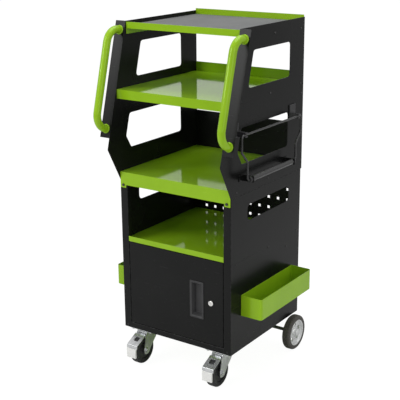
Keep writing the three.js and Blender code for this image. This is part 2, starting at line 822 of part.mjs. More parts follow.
function casterPlate() {
  const outline = rectangle(
    [-caster.plateX / 2, caster.plateX / 2], [-caster.plateY / 2, caster.plateY / 2], 8,
  );
  return join(
    plateXY(outline, [plateUnder, plateTop], 3),
    rod('z', [crownTop + gap, plateUnder + 0.01], [0, 0], fork.race, 28),
    rod('z', [crownUnder - 4, plateUnder], [0, 0], caster.kingpin, 20),
    rod('z', [crownUnder - 5, crownUnder - gap], [0, 0], caster.kingpin + fork.nut, 20),
  );
}

function casterFork() {
  const { rear, front, web, narrow, foot, waist } = fork;
  const arm = roundedShape([
    [rear, crownTop], [-front, crownTop], [wheelY - web, wheelZ + 6], [wheelY - narrow, wheelZ - foot],
    [wheelY + narrow, wheelZ - foot], [wheelY + rear - 5, wheelZ + 1], [rear - 5, crownTop - waist],
  ], [0, 4, 10, 10, 12, 20, 14]);
  const crown = rectangle([-armOuter, armOuter], [-front, rear], 6);
  const across = [-armOuter - 1, armOuter + 1];
  return cut(
    join(
      plateYZ(arm, [-armOuter, -caster.armInner]),
      plateYZ(arm, [caster.armInner, armOuter]),
      plateXY(crown, [crownUnder, crownTop], 3),
      rod('z', [crownUnder, crownTop], [0, 0], fork.boss, 28),
    ),
    rod('z', [crownUnder - 1, crownTop + 1], [0, 0], caster.kingpin + gap, 20),
    rod('x', across, [wheelY, wheelZ], caster.axle + gap, 20),
    rod('x', across, [pedalPivot.y, pedalPivot.z], pedal.pin + gap, 12),
  );
}

function casterTyre() {
  const edge = caster.wheelWidth / 2;
  const bed = caster.wheelRadius - caster.tyre;
  const radius = caster.wheelRadius;
  return turned([
    [-edge, bed], [-edge, radius - 7], [-edge + 2, radius - 2.5], [-edge + 6, radius],
    [edge - 6, radius], [edge - 2, radius - 2.5], [edge, radius - 7], [edge, bed],
  ], 32);
}

function casterHub() {
  const bed = caster.wheelRadius - caster.tyre - gap;
  const edge = caster.wheelWidth / 2;
  const reach = caster.armInner - 2 * gap;
  const bore = caster.axle + gap;
  return turned([
    [-reach, bore], [-reach, 11], [-6, 13], [-6, bed - 5], [-edge + 1, bed - 4], [-edge + 1, bed],
    [edge - 1, bed], [edge - 1, bed - 4], [6, bed - 5], [6, 13], [reach, 11], [reach, bore],
  ], 24);
}

function casterAxle() {
  const headReach = armOuter + gap;
  const centre = [0, 0];
  return join(
    rod('x', [-headReach - 4, headReach + 4], centre, caster.axle, 20),
    rod('x', [headReach, headReach + 5], centre, 8, 6),
    rod('x', [-headReach - 5, -headReach], centre, 8, 6),
  );
}

/** Brake pedal about its pivot: a cross tube, a sloping tread with a window and a bent-down tip. */
function brakePedal() {
  const { thickness, skirt, width, neck, shoulder, windowStart, windowEnd, windowHalf } = pedal;
  const root = new THREE.Vector2(1 - pedal.tube, pedal.tube - 0.3);
  const along = pedalTip.clone().sub(root).normalize();
  const under = new THREE.Vector2(-along.y, along.x).multiplyScalar(thickness);
  const bend = pedalTip.clone().add(under).addScaledVector(along, -thickness / 2);
  const foot = pedalTip.y - skirt;
  const profile = roundedShape([
    root.toArray(), pedalTip.toArray(), [pedalTip.x - 1.5, foot], [pedalTip.x - 1.5 + thickness, foot],
    bend.toArray(), root.clone().add(under).toArray(),
  ], [0, 1.5, 0, 0, 0, 0]);
  const link = roundedShape([
    [0, pedal.tube - 0.2], root.toArray(), root.clone().addScaledVector(along, shoulder - 2).toArray(),
    [-shoulder, -pedal.tube], [0, 0.5 - pedal.tube],
  ], 0);
  const reach = caster.armInner - 2 * gap;
  const depth = [2 * pedalTip.y, pedal.tube];
  return join(
    rod('x', [-reach, reach], [0, 0], pedal.tube, 12),
    rod('x', [-armOuter, armOuter], [0, 0], pedal.pin, 12),
    plateYZ(link, [-pedal.link, pedal.link]),
    cut(
      plateYZ(profile, [-width / 2, width / 2]),
      ...sides.map(([, s]) => block([s * (neck / 2), s * width], [-shoulder, pedal.tube], depth)),
      block([-windowHalf, windowHalf], [-windowEnd, -windowStart], depth),
    ),
  );
}

/** Plastic toe guard that hangs from the pedal's tip, in front of the tyre. */
function pedalToe() {
  const { thickness, foot } = toeGuard;
  const top = pedalTip.y - pedal.skirt - gap;
  const low = wheelZ - foot - pedalPivot.z;
  const outline = rectangle([pedalTip.x - thickness, pedalTip.x], [low, top], 1.5);
  return plateYZ(outline, [-toeGuard.width / 2, toeGuard.width / 2], 3);
}

for (const [side, s] of sides) {
  const swivel = new THREE.Group();
  swivel.position.set(s * casterPlace.x, casterPlace.y, 0);
  part(`caster_plate_${side}`, casterPlate(), zinc, swivel);
  part(`caster_fork_${side}`, casterFork(), zinc, swivel);
  const axle = new THREE.Group();
  axle.position.set(0, wheelY, wheelZ);
  part(`caster_tyre_${side}`, casterTyre(), blackRubber, axle);
  part(`caster_hub_${side}`, casterHub(), blackPlastic, axle);
  part(`caster_axle_${side}`, casterAxle(), zinc, axle);
  const pivot = new THREE.Group();
  pivot.position.set(0, pedalPivot.y, pedalPivot.z);
  part(`brake_pedal_${side}`, brakePedal(), zinc, pivot);
  part(`pedal_toe_${side}`, pedalToe(), whitePlastic, pivot);
  swivel.add(axle, pivot);
  cart.add(swivel);
}

// ---------------------------------------------------------------- rear axle and wheels

const axleHeight = rearWheel.radius;
const capReach = rearWheel.x + rearWheel.width / 2;

function rearAxle() {
  return rod('x', [-capReach - 2, capReach + 2], [rearWheel.y, axleHeight], rearWheel.axle, 24);
}

function axleHanger() {
  const top = cabinetBottom - gap;
  const { x } = axleBracket;
  const web = [x, x + axleBracket.thickness];
  const near = rearWheel.y - axleBracket.width / 2;
  const far = rearWheel.y + axleBracket.width / 2;
  const outline = roundedShape([
    [near, top], [rearWheel.y - 14, axleHeight - 14], [rearWheel.y + 14, axleHeight - 14], [far, top],
  ], [0, 10, 10, 0]);
  return cut(
    join(
      plateYZ(outline, web),
      block([x - 28, x + 1], [near, far], [top - axleBracket.thickness, top]),
    ),
    rod('x', [web[0] - 1, web[1] + 1], [rearWheel.y, axleHeight], rearWheel.axle + gap, 16),
  );
}

function rearTyre() {
  const edge = rearWheel.width / 2;
  const { radius, rim } = rearWheel;
  return turned([
    [-edge, rim], [-edge, radius - 7], [-edge + 3, radius - 2], [-edge + 8, radius],
    [edge - 8, radius], [edge - 3, radius - 2], [edge, radius - 7], [edge, rim],
  ], 36);
}

function rearRim() {
  const edge = rearWheel.width / 2 - 1;
  const rim = rearWheel.rim - gap;
  const bore = rearWheel.axle + gap;
  const band = turned([[-edge, rim - 5], [-edge, rim], [edge, rim], [edge, rim - 5]], 36);
  const hub = turned([[-edge, bore], [-edge, rearWheel.hub], [edge, rearWheel.hub - 1], [edge, bore]], 20);
  const spokes = Array.from({ length: rearWheel.spokes }, (_, i) => toSolid(
    new THREE.BoxGeometry(10, 15, rim - rearWheel.hub + 2)
      .translate(3, 0, (rim + rearWheel.hub) / 2 - 3)
      .rotateX((2 * Math.PI * i) / rearWheel.spokes),
  ));
  return join(band, hub, ...spokes);
}

function axleCap() {
  const face = rearWheel.width / 2;
  return cut(
    rod('x', [face - 0.7, face + 4], [0, 0], 12, 20),
    rod('x', [face - 2, face + 2 + gap], [0, 0], rearWheel.axle + gap, 16),
  );
}

part('rear_axle', rearAxle(), blackSteel, cart);
pair('axle_bracket', axleHanger(), blackPaint, cart);
const rearWheels = {};
for (const [side, s] of sides) {
  rearWheels[side] = new THREE.Group();
  rearWheels[side].position.set(s * rearWheel.x, rearWheel.y, axleHeight);
  cart.add(rearWheels[side]);
}
pair('rear_tyre', rearTyre(), tyreRubber, rearWheels);
pair('rear_rim', rearRim(), silverPlastic, rearWheels);
pair('axle_cap', axleCap(), silverPlastic, rearWheels);

// ---------------------------------------------------------------- origin

// The origin is on the floor, under the middle of the whole cart.
const bounds = new THREE.Box3().setFromObject(cart);
const middle = bounds.getCenter(new THREE.Vector3());
cart.position.set(-middle.x, -middle.y, -bounds.min.z);

export default cart;
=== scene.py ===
"""Looks for an upright sheet-steel tool cart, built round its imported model.

Lengths are in metres, +Z is up, and the cart's front faces -Y.
"""

import json
import math

import bmesh
import bpy
from mathutils import Matrix, Vector


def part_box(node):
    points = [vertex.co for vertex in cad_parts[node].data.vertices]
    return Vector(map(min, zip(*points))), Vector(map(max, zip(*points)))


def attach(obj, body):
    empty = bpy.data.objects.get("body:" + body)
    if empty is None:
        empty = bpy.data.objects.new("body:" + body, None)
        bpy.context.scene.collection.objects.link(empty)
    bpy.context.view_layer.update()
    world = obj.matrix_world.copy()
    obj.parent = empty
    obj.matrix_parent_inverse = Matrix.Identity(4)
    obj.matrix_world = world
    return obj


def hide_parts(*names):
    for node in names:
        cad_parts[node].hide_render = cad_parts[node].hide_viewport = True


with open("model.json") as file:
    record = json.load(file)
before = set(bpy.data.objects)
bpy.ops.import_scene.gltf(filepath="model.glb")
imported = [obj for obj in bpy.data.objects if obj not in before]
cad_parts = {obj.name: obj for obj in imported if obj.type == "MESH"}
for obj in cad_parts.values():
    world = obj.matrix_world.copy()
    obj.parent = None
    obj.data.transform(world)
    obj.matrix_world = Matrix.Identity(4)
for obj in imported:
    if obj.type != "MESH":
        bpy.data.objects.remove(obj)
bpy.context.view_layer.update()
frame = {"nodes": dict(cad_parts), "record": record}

mm = 0.001
X, Y, Z = Vector((1, 0, 0)), Vector((0, 1, 0)), Vector((0, 0, 1))
SIDES = {"left": -1, "right": 1}

# ---------------------------------------------------------------- shader expressions


class Value:
    """A shader socket that arithmetic works on: each operation adds the node that does it."""

    def __init__(self, finish, socket):
        self.finish = finish
        self.socket = socket

    def _math(self, operation, other):
        return self.finish.node("ShaderNodeMath", {"operation": operation}, {0: self, 1: other})

    def __add__(self, other):
        return self._math("ADD", other)

    def __mul__(self, other):
        return self._math("MULTIPLY", other)

    __radd__ = __add__
    __rmul__ = __mul__

    def ramp(self, low, high):
        """0 below low, 1 above high, smooth between."""
        settings = {"interpolation_type": "SMOOTHSTEP"}
        return self.finish.node("ShaderNodeMapRange", settings, {0: self, 1: low, 2: high})


class Finish:
    """A node material. Values that change over the surface are linked, the rest set on the shader."""

    def __init__(self, name, **constants):
        self.material = bpy.data.materials.new(name)
        self.material.use_nodes = True
        self.tree = self.material.node_tree
        self.shader = self.tree.nodes["Principled BSDF"]
        for key, constant in constants.items():
            self.shader.inputs[key.replace("_", " ").title().replace("Ior", "IOR")].default_value = constant

    def node(self, kind, settings=None, inputs=None, output=0):
        node = self.tree.nodes.new(kind)
        for key, setting in (settings or {}).items():
            setattr(node, key, setting)
        for key, given in (inputs or {}).items():
            if isinstance(given, Value):
                self.tree.links.new(given.socket, node.inputs[key])
            else:
                node.inputs[key].default_value = given
        return Value(self, node.outputs[output])

    def place(self, stretch=(1, 1, 1), turn=(0, 0, 0)):
        """Position on the piece, in metres, stretched along each axis."""
        where = self.node("ShaderNodeTexCoord", output="Object")
        return self.node("ShaderNodeMapping", inputs={"Vector": where, "Scale": stretch, "Rotation": turn})

    def noise(self, size, detail=2.0, roughness=0.5, stretch=(1, 1, 1), turn=(0, 0, 0)):
        """Cloudy noise whose features are about `size` metres across."""
        where = self.place(stretch, turn)
        inputs = {"Vector": where, "Scale": 1 / size, "Detail": detail, "Roughness": roughness}
        return self.node("ShaderNodeTexNoise", inputs=inputs)

    def cells(self, size):
        """Distance inside round cells about `size` metres across."""
        return self.node("ShaderNodeTexVoronoi", inputs={"Vector": self.place(), "Scale": 1 / size})

    def edge(self):
        """1 on rounded edges and bends, 0 on the flat faces."""
        return self.node("ShaderNodeAttribute", {"attribute_name": "edge"}, output="Fac")

    def facing_up(self):
        normal = self.node("ShaderNodeNewGeometry", output="Normal")
        return self.node("ShaderNodeSeparateXYZ", inputs={0: normal}, output="Z")

    def blend(self, factor, a, b):
        """Colour a where factor is 0, and b where it is 1."""
        settings = {"data_type": "RGBA", "clamp_factor": True}
        return self.node("ShaderNodeMix", settings, {0: factor, 6: a, 7: b}, output=2)

    def feed(self, **links):
        for key, value in links.items():
            self.tree.links.new(value.socket, self.shader.inputs[key.replace("_", " ").title()])
        return self

    def bump(self, height, depth, strength=1.0):
        inputs = {"Height": height, "Distance": depth, "Strength": strength}
        return self.feed(Normal=self.node("ShaderNodeBump", inputs=inputs))


def rgb(r, g, b):
    return (r, g, b, 1.0)


def powder_coat(name, paint, pale, dark, gloss, dusty, peel, shine):
    """Baked powder coat: orange peel, faint clouding, dust, fine scuffs, and edges lightened in patches,
    partly rubbed wear and partly a painted highlight.
    """
    coat = Finish(name, coat_roughness=0.08, coat_ior=1.5, specular_ior_level=shine)
    clouds = coat.noise(0.16, detail=4)
    grain = coat.noise(0.0021, detail=3)
    scuffs = coat.noise(0.02, detail=5, roughness=0.7, stretch=(1, 0.06, 1), turn=(0.3, 0.5, 0.9))
    scuffs = scuffs.ramp(0.64, 0.7)
    scratches = coat.noise(0.004, detail=4, stretch=(0.05, 1, 1), turn=(0.7, 0.2, 0.4)).ramp(0.69, 0.73)
    settled = coat.noise(0.09, detail=6, roughness=0.65).ramp(0.42, 0.75)
    dust = coat.facing_up().ramp(0.6, 1.0) * settled * dusty
    # Rounded edges turn towards the pale tone in patches: partly rubbed wear, partly a painted highlight
    # along the bends and rims.
    edge_mix = coat.edge() * coat.noise(0.011, detail=4).ramp(0.38, 0.7)
    tone = coat.blend(clouds.ramp(0.3, 0.7), dark, paint)
    tone = coat.blend(edge_mix * 0.55 + scratches * 0.12, tone, pale)
    tone = coat.blend(dust, tone, rgb(0.42, 0.41, 0.38))
    rough = clouds * 0.05 + scuffs * 0.1 + scratches * 0.08 + dust * 0.5 + edge_mix * 0.06 + gloss
    coat.feed(base_color=tone, roughness=rough)
    return coat.bump(grain + scratches * -0.6, peel, 0.5)


def green_paint():
    # The pale tone colours scratches and rubbed edges, and it also paints highlights on the bends and rims.
    coat = powder_coat("gloss_green_powder_coat", rgb(0.275, 0.485, 0.014), rgb(0.42, 0.66, 0.12),
                       rgb(0.245, 0.440, 0.011), 0.05, 0.03, 0.000006, 0.36)
    coat.shader.inputs["Specular Tint"].default_value = rgb(0.80, 1.0, 0.50)
    return coat.material


def black_paint():
    # The pale tone colours scratches and rubbed edges, and it also paints highlights on the bends and rims.
    coat = powder_coat("satin_black_powder_coat", rgb(0.0075, 0.0078, 0.0075), rgb(0.070, 0.070, 0.072),
                       rgb(0.0058, 0.0060, 0.0058), 0.24, 0.02, 0.00002, 0.15)
    return coat.material


def mat_rubber():
    mat = Finish("pebbled_grey_mat", specular_ior_level=0.35)
    pebbles = mat.cells(0.0022)
    clouds = mat.noise(0.12, detail=5)
    scuffs = mat.noise(0.03, detail=5, stretch=(1, 0.1, 1), turn=(0, 0, 0.6)).ramp(0.62, 0.72)
    tone = mat.blend(clouds.ramp(0.3, 0.7), rgb(0.108, 0.111, 0.111), rgb(0.132, 0.135, 0.135))
    mat.feed(base_color=mat.blend(scuffs * 0.3, tone, rgb(0.25, 0.25, 0.245)))
    mat.feed(roughness=clouds * 0.1 + pebbles * 0.1 + 0.62)
    return mat.bump(pebbles, 0.0004, 0.6).material


def plated(name, bright, dull, rough, grain_size):
    """Zinc or nickel plate: fine drawn grain, cloudy passivation and a few dull spots."""
    plate = Finish(name, metallic=1.0)
    grain = plate.noise(grain_size, detail=3, stretch=(1, 1, 0.12))
    clouds = plate.noise(0.014, detail=5)
    spots = plate.noise(0.006, detail=3).ramp(0.62, 0.75)
    plate.feed(base_color=plate.blend(clouds.ramp(0.35, 0.7) * 0.6 + spots * 0.4, bright, dull))
    plate.feed(roughness=clouds * 0.16 + grain * 0.08 + spots * 0.12 + rough)
    return plate.bump(grain, 0.00004, 0.3).material


def moulded(name, tone, worn, rough, depth, grain_size=0.0011):
    """Moulded plastic or rubber: spark-eroded grain, and a worn tone on rubbed edges and in scattered clouds.
    """
    skin = Finish(name, specular_ior_level=0.45)
    grain = skin.noise(grain_size, detail=4)
    clouds = skin.noise(0.03, detail=5)
    edge_mix = skin.edge() * 0.35 + clouds.ramp(0.45, 0.8) * 0.25
    skin.feed(base_color=skin.blend(edge_mix, tone, worn))
    skin.feed(roughness=clouds * 0.14 + grain * 0.12 + rough)
    return skin.bump(grain, depth, 0.5).material


def black_steel_paint():
    """Thin satin paint on round bar, with drawing marks along it and lighter rubbed spots."""
    coat = Finish("satin_black_bar", specular_ior_level=0.6)
    drawn = coat.noise(0.003, detail=3, stretch=(1, 0.08, 1))
    rubs = coat.noise(0.012, detail=4).ramp(0.6, 0.78)
    coat.feed(base_color=coat.blend(rubs * 0.5, rgb(0.012, 0.012, 0.012), rgb(0.07, 0.07, 0.072)))
    coat.feed(roughness=drawn * 0.14 + rubs * 0.1 + 0.2)
    return coat.bump(drawn, 0.00003, 0.4).material


BLACK_PLASTIC = rgb(0.021, 0.021, 0.022), rgb(0.065, 0.065, 0.067)
CASTER_RUBBER = rgb(0.012, 0.012, 0.013), rgb(0.045, 0.043, 0.04)
WHITE_PLASTIC = rgb(0.83, 0.83, 0.81), rgb(0.66, 0.65, 0.61)
TREAD_RUBBER = rgb(0.068, 0.063, 0.057), rgb(0.12, 0.112, 0.10)
SILVER_PAINT = rgb(0.66, 0.67, 0.67), rgb(0.52, 0.52, 0.52)
ZINC = rgb(0.68, 0.69, 0.70), rgb(0.46, 0.47, 0.48)
NICKEL = rgb(0.84, 0.83, 0.81), rgb(0.72, 0.71, 0.69)

FINISHES = {
    "green_paint": green_paint(),
    "black_paint": black_paint(),
    "grey_mat": mat_rubber(),
    "black_plastic": moulded("grained_black_plastic", *BLACK_PLASTIC, 0.34, 0.00005),
    "caster_rubber": moulded("caster_rubber", *CASTER_RUBBER, 0.34, 0.00006, 0.0018),
    "white_plastic": moulded("white_toe_plastic", *WHITE_PLASTIC, 0.3, 0.00004),
    "zinc": plated("bright_zinc_plate", *ZINC, 0.12, 0.0012),
    "nickel": plated("polished_nickel", *NICKEL, 0.08, 0.0008),
    "black_steel": black_steel_paint(),
    "tyre_rubber": moulded("tread_rubber", *TREAD_RUBBER, 0.6, 0.00012, 0.002),
    "silver_plastic": moulded("silver_painted_wheel", *SILVER_PAINT, 0.24, 0.00004),
}
FINISHES["silver_plastic"].node_tree.nodes["Principled BSDF"].inputs["Metallic"].default_value = 0.35

# ---------------------------------------------------------------- mesh tools


def mark_edges(mesh):
    """Gives the rounded edge faces, which the bevel put in slot 1, their own edge value."""
    layer = mesh.attributes.new("edge", "FLOAT", "CORNER")
    for face in mesh.polygons:
        rounded = 1.0 if face.material_index == 1 else 0.0
        for corner in face.loop_indices:
            layer.data[corner].value = rounded
        face.material_index = 0


def finish_piece(obj, body, slot, nodes=()):
    """Last step of every piece: its finish, its body and the nodes that it stands for."""
    while len(obj.data.materials) > 1:
        obj.data.materials.pop()
    if obj.data.materials:
        obj.data.materials[0] = FINISHES[slot]
    else:
        obj.data.materials.append(FINISHES[slot])
    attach(obj, body)
    if nodes:
        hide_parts(*nodes)
    return obj


def new_object(name, mesh):
    obj = bpy.data.objects.new(name, mesh)
    bpy.context.scene.collection.objects.link(obj)
    return obj


def apply_modifiers(obj):
    graph = bpy.context.evaluated_depsgraph_get()
    mesh = bpy.data.meshes.new_from_object(obj.evaluated_get(graph), depsgraph=graph)
    obj.modifiers.clear()
    obj.data = mesh
    return obj


def face_width(face):
    """Area over the longest edge: near the sheet's thickness on a cut edge."""
    return face.calc_area() / max(edge.calc_length() for edge in face.edges)


def round_edges(obj, bend, rim, segments=3, sharp=math.radians(28), wide=3.2 * mm):
    """Rounds the bends of a folded sheet to `bend` and its cut rims to `rim`."""
    work = bmesh.new()
    work.from_mesh(obj.data)
    weight = work.edges.layers.float.new("bevel_weight_edge")
    for edge in work.edges:
        if len(edge.link_faces) != 2 or edge.calc_face_angle(0) < sharp:
            continue
        fold = edge.is_convex and all(face_width(face) > wide for face in edge.link_faces)
        edge[weight] = 1.0 if fold else rim / bend
    work.to_mesh(obj.data)
    work.free()
    for slot in ("flat", "round"):
        obj.data.materials.append(bpy.data.materials.get(slot) or bpy.data.materials.new(slot))
    bevel = obj.modifiers.new("round", "BEVEL")
    bevel.limit_method = "WEIGHT"
    bevel.width = bend
    bevel.segments = segments
    bevel.use_clamp_overlap = True
    bevel.material = 1
    bevel.miter_outer = "MITER_ARC"
    apply_modifiers(obj)
    for face in obj.data.polygons:
        face.use_smooth = True
    mark_edges(obj.data)
    weighted = obj.modifiers.new("normals", "WEIGHTED_NORMAL")
    weighted.weight = 100
    return apply_modifiers(obj)


def clean_copy(node, name):
    """A node's mesh with its triangles joined back into flat faces."""
    mesh = frame["nodes"][node].data.copy()
    mesh.materials.clear()
    work = bmesh.new()
    work.from_mesh(mesh)
    bmesh.ops.remove_doubles(work, verts=work.verts, dist=0.01 * mm)
    bmesh.ops.dissolve_degenerate(work, dist=0.01 * mm, edges=work.edges)
    bmesh.ops.dissolve_limit(work, angle_limit=math.radians(1), verts=work.verts, edges=work.edges)
    work.to_mesh(mesh)
    work.free()
    return new_object(name, mesh)


BODY_OF = {node: body for body, nodes in frame["record"]["behaviour"]["bodies"].items() for node in nodes}
SLOT_OF = {row["node"]: row["material_slot"] for row in frame["record"]["subparts"]}


def rounded(node, bend=1.5 * mm, rim=0.35 * mm, segments=3, wide=3.2 * mm):
    """Stands a copy with rounded bends and rims in for a node."""
    obj = round_edges(clean_copy(node, node + "_body"), bend, rim, segments, wide=wide)
    return finish_piece(obj, BODY_OF[node], SLOT_OF[node], [node])


def mesh_object(name, points, faces, smooth=True):
    mesh = bpy.data.meshes.new(name)
    mesh.from_pydata([tuple(point) for point in points], [], faces)
    mesh.validate()
    work = bmesh.new()
    work.from_mesh(mesh)
    bmesh.ops.recalc_face_normals(work, faces=work.faces)
    work.to_mesh(mesh)
    work.free()
    for face in mesh.polygons:
        face.use_smooth = smooth
    if smooth:
        mesh.set_sharp_from_angle(angle=math.radians(35))
    return new_object(name, mesh)


def frame_on(axis):
    """Two unit directions square to an axis."""
    u = axis.cross(Z if abs(axis.z) < 0.9 else X).normalized()
    return u, axis.cross(u).normalized()


def lathe(centre, axis, profile, steps=96, shape=None, closed=False):
    """Points and faces turned from (along, radius) pairs in millimetres; `shape` may alter a radius.

    The profile of a ring is closed on itself, and the ends of any other are capped.
    """
    u, v = frame_on(axis)
    points, faces = [], []
    for step in range(steps):
        angle = 2 * math.pi * step / steps
        out = u * math.cos(angle) + v * math.sin(angle)
        for row, (along, radius) in enumerate(profile):
            reach = shape(row, step, angle, radius) if shape else radius
            points.append(centre + (axis * along + out * reach) * mm)
    rows = len(profile)
    for step in range(steps):
        near, far = step * rows, (step + 1) % steps * rows
        for row in range(rows if closed else rows - 1):
            after = (row + 1) % rows
            faces.append((near + row, near + after, far + after, far + row))
    if not closed:
        faces += [[step * rows + end for step in range(steps)] for end in (0, rows - 1)]
    return points, faces


def hexagon(corner):
    """Shape that keeps a turned profile inside a hexagon of that corner radius."""
    def shape(row, step, angle, radius):
        side = corner * math.cos(math.pi / 6) / math.cos(angle % (math.pi / 3) - math.pi / 6)
        return min(radius, side)
    return shape


def hex_head(centre, axis, corner, height, base=0.0):
    """A hexagon head with a chamfered top and a washer face."""
    washer = corner * 0.82
    profile = [(base, washer), (base + 0.3, washer), (base + 0.3, corner), (base + height - 0.9, corner),
               (base + height, corner * 0.86)]
    return lathe(centre, axis, profile, 72, hexagon(corner))


def sweep(path, radius, sides=32):
    """Points and faces of a round bar along a list of points."""
    points, faces = [], []
    side = None
    for index, point in enumerate(path):
        before, after = path[max(index - 1, 0)], path[min(index + 1, len(path) - 1)]
        along = (after - before).normalized()
        side = frame_on(along)[0] if side is None else (side - along * side.dot(along)).normalized()
        up = along.cross(side)
        for step in range(sides):
            angle = 2 * math.pi * step / sides
            points.append(point + (side * math.cos(angle) + up * math.sin(angle)) * radius)
    for index in range(len(path) - 1):
        for step in range(sides):
            here, there = index * sides, (index + 1) * sides
            after = (step + 1) % sides
            faces.append((here + step, here + after, there + after, there + step))
    faces.append(list(range(sides)))
    faces.append([(len(path) - 1) * sides + step for step in range(sides)])
    return points, faces


def bent(corners, radius, steps=10):
    """A path through the corners, each inner one turned on an arc."""
    path = [corners[0]]
    for index in range(1, len(corners) - 1):
        corner = corners[index]
        back = (corners[index - 1] - corner).normalized()
        on = (corners[index + 1] - corner).normalized()
        half = back.angle(on) / 2
        centre = corner + (back + on).normalized() * (radius / math.sin(half))
        start = corner + back * (radius / math.tan(half)) - centre
        end = corner + on * (radius / math.tan(half)) - centre
        for step in range(steps + 1):
            path.append(centre + start.slerp(end, step / steps).normalized() * radius)
    path.append(corners[-1])
    return path


def gather(parts):
    """Joins several (points, faces) pairs into one."""
    points, faces = [], []
    for more_points, more_faces in parts:
        base = len(points)
        points += more_points
        faces += [[base + index for index in face] for face in more_faces]
    return points, faces


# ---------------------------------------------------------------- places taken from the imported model

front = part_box("cabinet_side_left")[0][1]  # the cabinet's front face


def middle(node):
    low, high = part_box(node)
    return (Vector(low) + Vector(high)) / 2


def place(x, y, z):
    """A point from millimetres: x from the middle, y behind the front face, z above the floor."""
    return Vector((x * mm, front + y * mm, z * mm))


def piece(name, geometry, node, replace=True):
    """A piece of the same body and finish as a node, which it may stand for."""
    obj = mesh_object(name, *geometry)
    return finish_piece(obj, BODY_OF[node], SLOT_OF[node], [node] if replace else [])


def carve(obj, *cutters):
    """Cuts closed (points, faces) solids out of an object."""
    for geometry in cutters:
        tool = mesh_object("tool", *geometry)
        cutting = obj.modifiers.new("cut", "BOOLEAN")
        cutting.operation = "DIFFERENCE"
        cutting.solver = "EXACT"
        cutting.object = tool
        apply_modifiers(obj)
        bpy.data.objects.remove(tool)
    return obj


def prism(centre, axis, outline, reach):
    """A straight solid along an axis through (u, v) points in millimetres, `reach` each way."""
    u, v = frame_on(axis)
    count = len(outline)
    points = [centre + (axis * end + u * a + v * b) * mm for end in (-reach, reach) for a, b in outline]
    faces = [list(range(count)), list(range(count, 2 * count))]
    faces += [(i, (i + 1) % count, count + (i + 1) % count, count + i) for i in range(count)]
    return points, faces


# ---------------------------------------------------------------- folded sheet steel

for node in ("cabinet_side_left", "cabinet_side_right", "hutch_side_left", "hutch_side_right", "bottom_rail"):
    rounded(node, bend=1.6 * mm)
for node in ("hutch_back", "axle_bracket_left", "axle_bracket_right"):
    rounded(node, bend=1.2 * mm)
for node in ("cabinet_base", "cupboard_roof", "lower_tray", "middle_tray", "top_tray"):
    rounded(node, bend=1.6 * mm)
for node in ("side_bin_left", "side_bin_right"):
    rounded(node, bend=1.2 * mm, rim=0.4 * mm)
for node in ("rack_bracket_front", "rack_bracket_rear", "lock_keeper", "lock_cam"):
    rounded(node, bend=0.8 * mm, rim=0.3 * mm, wide=4 * mm)
for node in ("rack_clip_front", "rack_clip_rear"):
    rounded(node, bend=1.2 * mm, rim=0.6 * mm)
rounded("door", bend=1.8 * mm, rim=0.3 * mm)
rounded("door_handle_cup", bend=1.0 * mm, rim=0.5 * mm, wide=4 * mm)
rounded("top_mat", bend=1.0 * mm, rim=0.6 * mm)
for node in ("hinge_pin_lower", "hinge_pin_upper", "lock_plug", "rear_axle"):
    rounded(node, bend=0.4 * mm, rim=0.25 * mm)


def perforated_back():
    """The cabinet's back panel: a sheet with square peg holes on a square pitch."""
    low, high = (Vector(corner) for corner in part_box("cabinet_back"))
    pitch, hole, columns, rows = 38.1 * mm, 9.5 * mm, 10, 4
    first_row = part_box("cupboard_roof")[1][2] - 1.5 * mm
    across = [(column - (columns - 1) / 2) * pitch for column in range(columns)]
    upward = [first_row + row * pitch for row in range(rows)]
    xs = [low.x] + [x + half for x in across for half in (-hole / 2, hole / 2)] + [high.x]
    zs = [low.z] + [z + half for z in upward for half in (-hole / 2, hole / 2)] + [high.z]
    points = [Vector((x, y, z)) for y in (low.y, high.y) for z in zs for x in xs]
    wide = len(xs)
    layer = wide * len(zs)

    def solid(i, j):
        return 0 <= i < wide - 1 and 0 <= j < len(zs) - 1 and not (i % 2 and j % 2)

    faces = []
    for j in range(len(zs) - 1):
        for i in range(wide - 1):
            if not solid(i, j):
                continue
            ring = [j * wide + i, j * wide + i + 1, (j + 1) * wide + i + 1, (j + 1) * wide + i]
            faces += [ring, [layer + index for index in reversed(ring)]]
            for side, (di, dj) in enumerate(((0, -1), (1, 0), (0, 1), (-1, 0))):
                if not solid(i + di, j + dj):
                    a, b = ring[side], ring[(side + 1) % 4]
                    faces.append((b, a, layer + a, layer + b))
    obj = round_edges(mesh_object("cabinet_back_body", points, faces, smooth=False), 0.4 * mm, 0.4 * mm, 2)
    finish_piece(obj, "root", "black_paint", ["cabinet_back"])


perforated_back()

# ---------------------------------------------------------------- push handles

LEAN = math.atan2(111.5, 405)  # of the hutch's front edges, from upright
KNEE_Y, KNEE_Z = -61, 770  # where the hutch's front starts to lean back
FLANGE_X = 238  # middle of the handle's flange


def on_flange(x, up, out):
    """A point by its distance up the leaning flange from the knee and out from its face, in millimetres."""
    y = KNEE_Y + up * math.sin(LEAN) - out * math.cos(LEAN)
    z = KNEE_Z + up * math.cos(LEAN) + out * math.sin(LEAN)
    return place(x, y, z)


def weld_ripple(row, step, angle, radius):
    """Ripples round a weld bead, which leave its two edges plain."""
    return radius + (0.35 if step % 6 < 3 and 0 < row < 4 else 0.0)


BEAD = [(0, 12), (0, 15.2), (0.9, 15), (2.1, 13.9), (2.9, 12.6), (2.9, 12)]

for side, s in SIDES.items():
    x, low, high = FLANGE_X * s, 68, 390.06
    corners = [on_flange(x, up, out) for up, out in ((low, 0.3), (low, 53), (high, 53), (high, 0.3))]
    tube = sweep(bent(corners, 48 * mm, 16), 12.5 * mm, 40)
    outward = (corners[1] - corners[0]).normalized()
    feet = (corners[0], corners[3])
    beads = [lathe(foot, outward, BEAD, 96, weld_ripple, closed=True) for foot in feet]
    piece(f"handle_tube_{side}", gather([tube, *beads]), f"handle_{side}")

# ---------------------------------------------------------------- door lock and tray bolts

